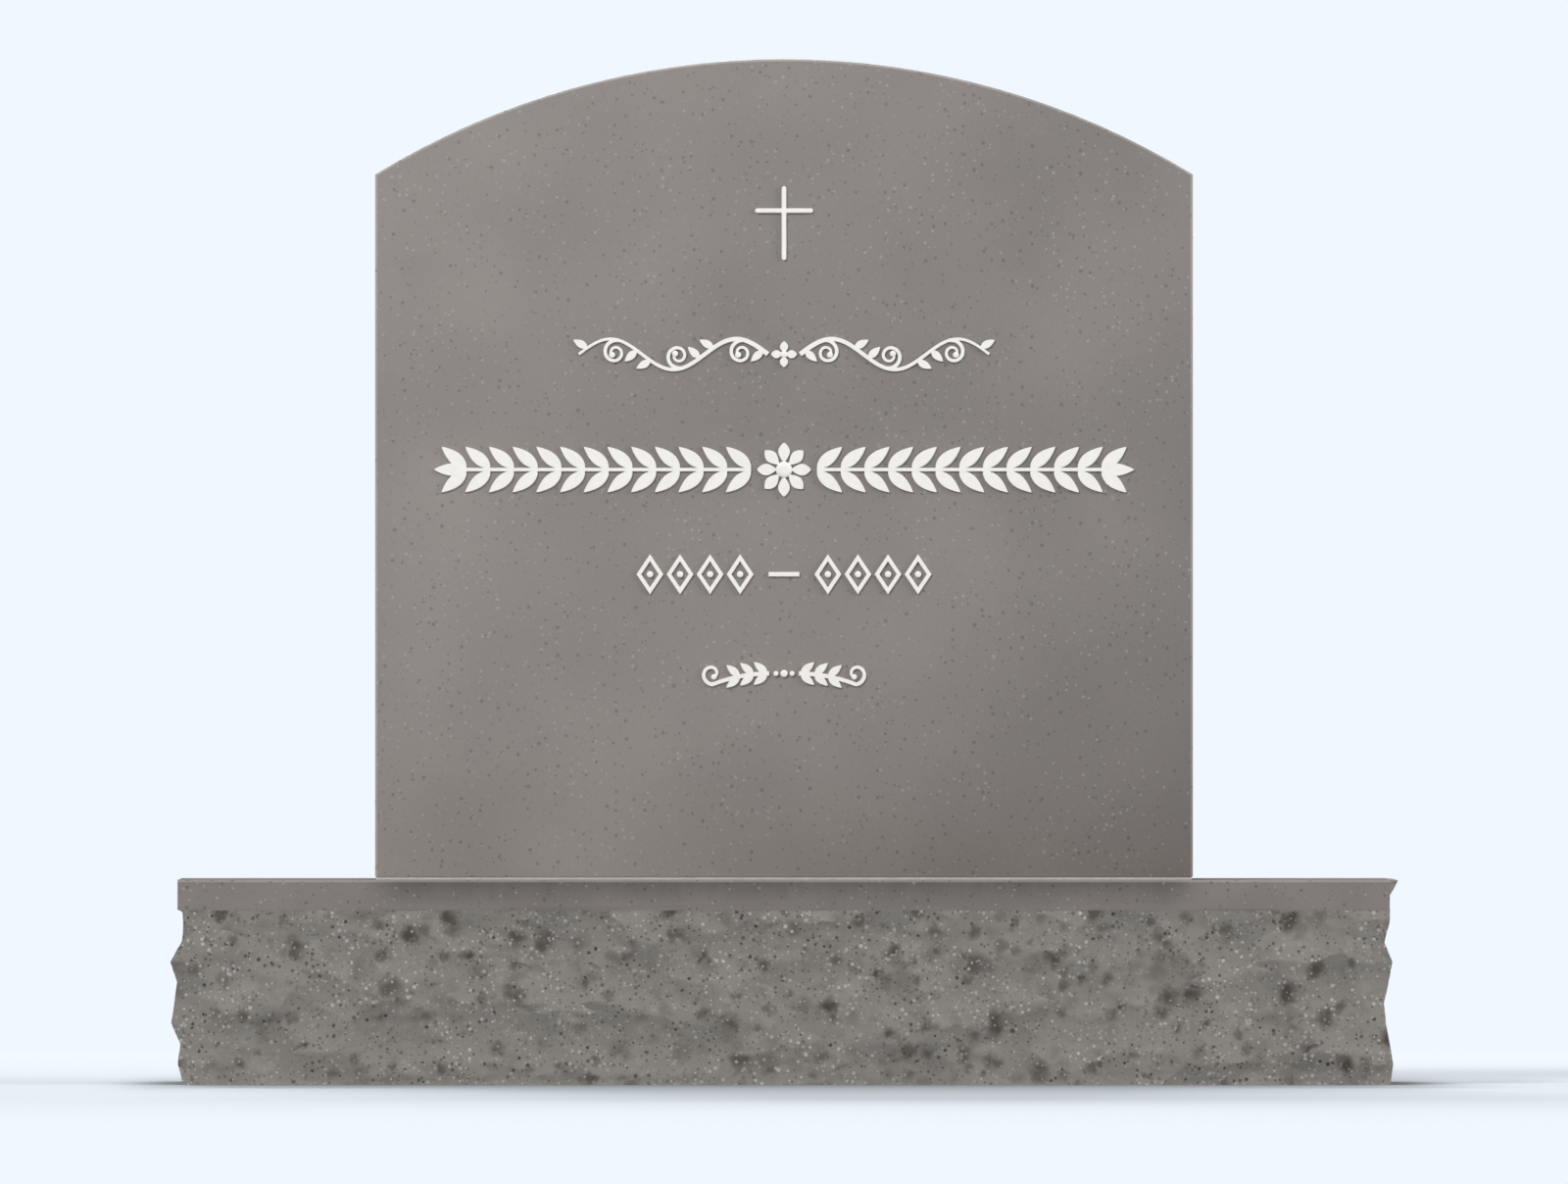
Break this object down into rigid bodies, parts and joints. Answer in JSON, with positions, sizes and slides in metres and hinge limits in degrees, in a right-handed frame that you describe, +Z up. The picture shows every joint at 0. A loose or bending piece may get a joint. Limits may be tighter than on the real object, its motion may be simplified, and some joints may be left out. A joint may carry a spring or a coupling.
{
  "type": "curved top headstone",
  "caption": "Upright granite tablet with a segmental curved top and a small raised cross, set on a wide rock-pitched base stone with a dressed margin.",
  "frame": {"origin": "middle of the base stone's sawn bed, at ground level", "axes": "+Z up; the face with the cross looks along -Y; +X to the right of someone reading it"},
  "size_m": [0.9144, 0.3048, 0.764],
  "materials": {
    "base_granite": "matte",
    "setting_compound": "matte",
    "tablet_granite": "satin",
    "raised_white": "matte"
  },
  "bodies": {
    "root": {"base": "base_granite", "setting_bed": "setting_compound", "tablet": "tablet_granite", "cross": "raised_white"}
  },
  "joints": []
}
